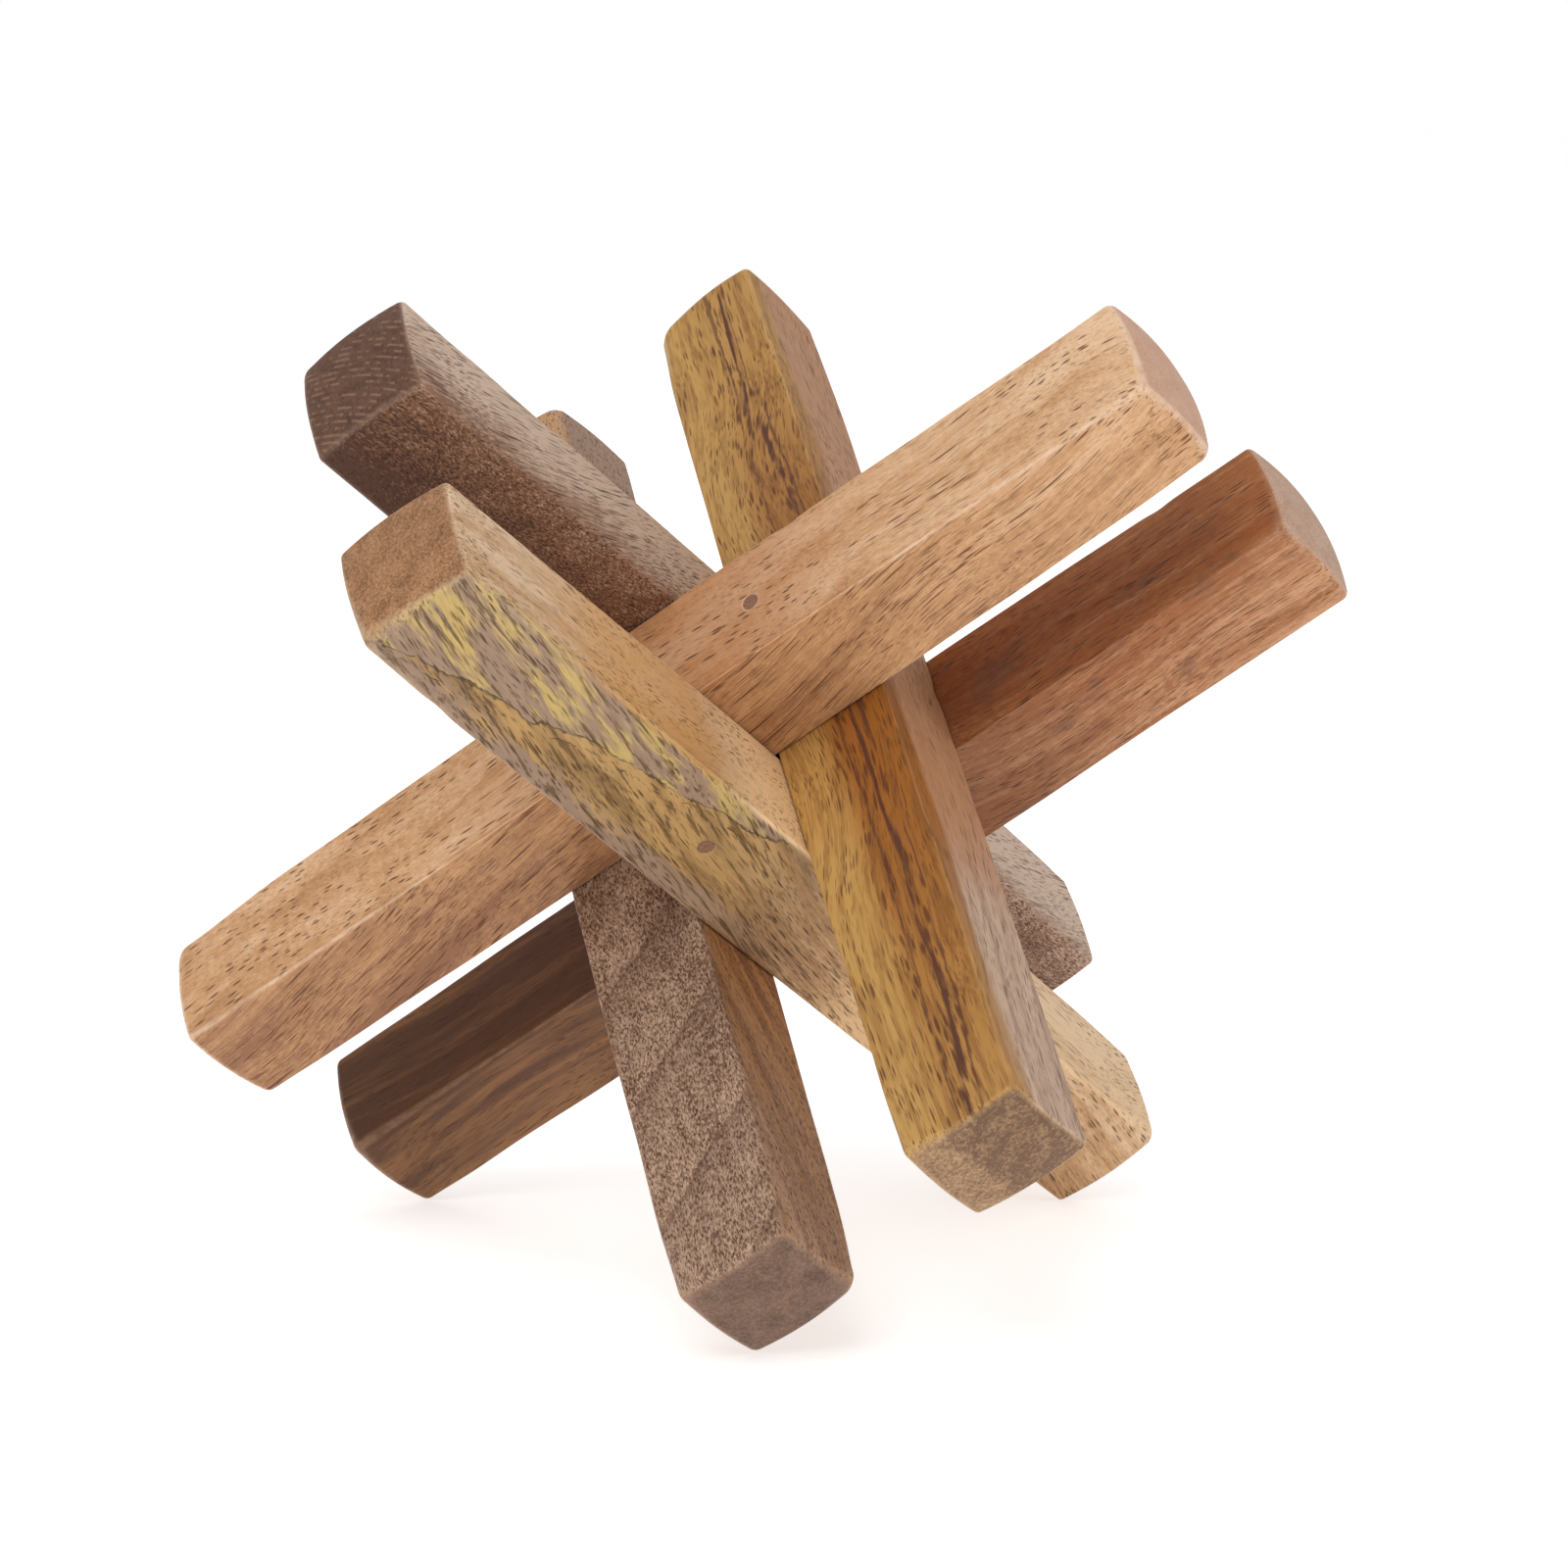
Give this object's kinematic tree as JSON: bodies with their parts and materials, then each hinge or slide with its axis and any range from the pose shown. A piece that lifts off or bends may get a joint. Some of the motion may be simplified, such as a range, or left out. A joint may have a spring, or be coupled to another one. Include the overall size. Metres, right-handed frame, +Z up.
{
  "type": "wooden burr puzzle",
  "caption": "Interlocking wooden puzzle of square bars crossed along three directions, standing on the lower ends of its bars; each bar pulls off a hidden friction pin.",
  "frame": {"origin": "on the surface the puzzle stands on, under its middle", "axes": "+Z up; -Y towards the front foot, the lower end of the speckled bar; +X to the right seen from the front. The bars run along three directions at right angles that each rise 35.26 degrees, at azimuths 90, -30 and -150 degrees from +X"},
  "size_m": [0.1632, 0.1714, 0.1425],
  "materials": {
    "tan_bar": "hand-sanded, oiled, open pores",
    "russet_bar": "hand-sanded, oiled, open pores",
    "umber_bar": "hand-sanded, oiled, open pores",
    "spalted_bar": "hand-sanded, oiled, open pores",
    "golden_bar": "hand-sanded, oiled, open pores",
    "speckled_bar": "hand-sanded, oiled, open pores",
    "pin": "sanded end grain"
  },
  "bodies": {
    "umber": {"umber_bar": "umber_bar"},
    "golden": {"golden_bar": "golden_bar", "golden_pin": "pin"},
    "tan": {"tan_bar": "tan_bar", "tan_pin": "pin"},
    "spalted": {"spalted_bar": "spalted_bar", "spalted_pin": "pin"},
    "speckled": {"speckled_bar": "speckled_bar", "speckled_pin": "pin"},
    "russet": {"russet_bar": "russet_bar", "russet_pin": "pin"}
  },
  "joints": [
    {"name": "golden_pull", "type": "slide", "parent": "umber", "child": "golden", "axis": [0.7071, -0.4082, 0.5774], "range_m": [0, 0.09]},
    {"name": "tan_pull", "type": "slide", "parent": "golden", "child": "tan", "axis": [-0.7071, -0.4082, 0.5774], "range_m": [0, 0.09]},
    {"name": "spalted_pull", "type": "slide", "parent": "tan", "child": "spalted", "axis": [0, -0.8165, -0.5774], "range_m": [0, 0.09]},
    {"name": "speckled_pull", "type": "slide", "parent": "umber", "child": "speckled", "axis": [-0.7071, 0.4082, -0.5774], "range_m": [0, 0.09]},
    {"name": "russet_pull", "type": "slide", "parent": "speckled", "child": "russet", "axis": [0.7071, 0.4082, -0.5774], "range_m": [0, 0.09]}
  ]
}
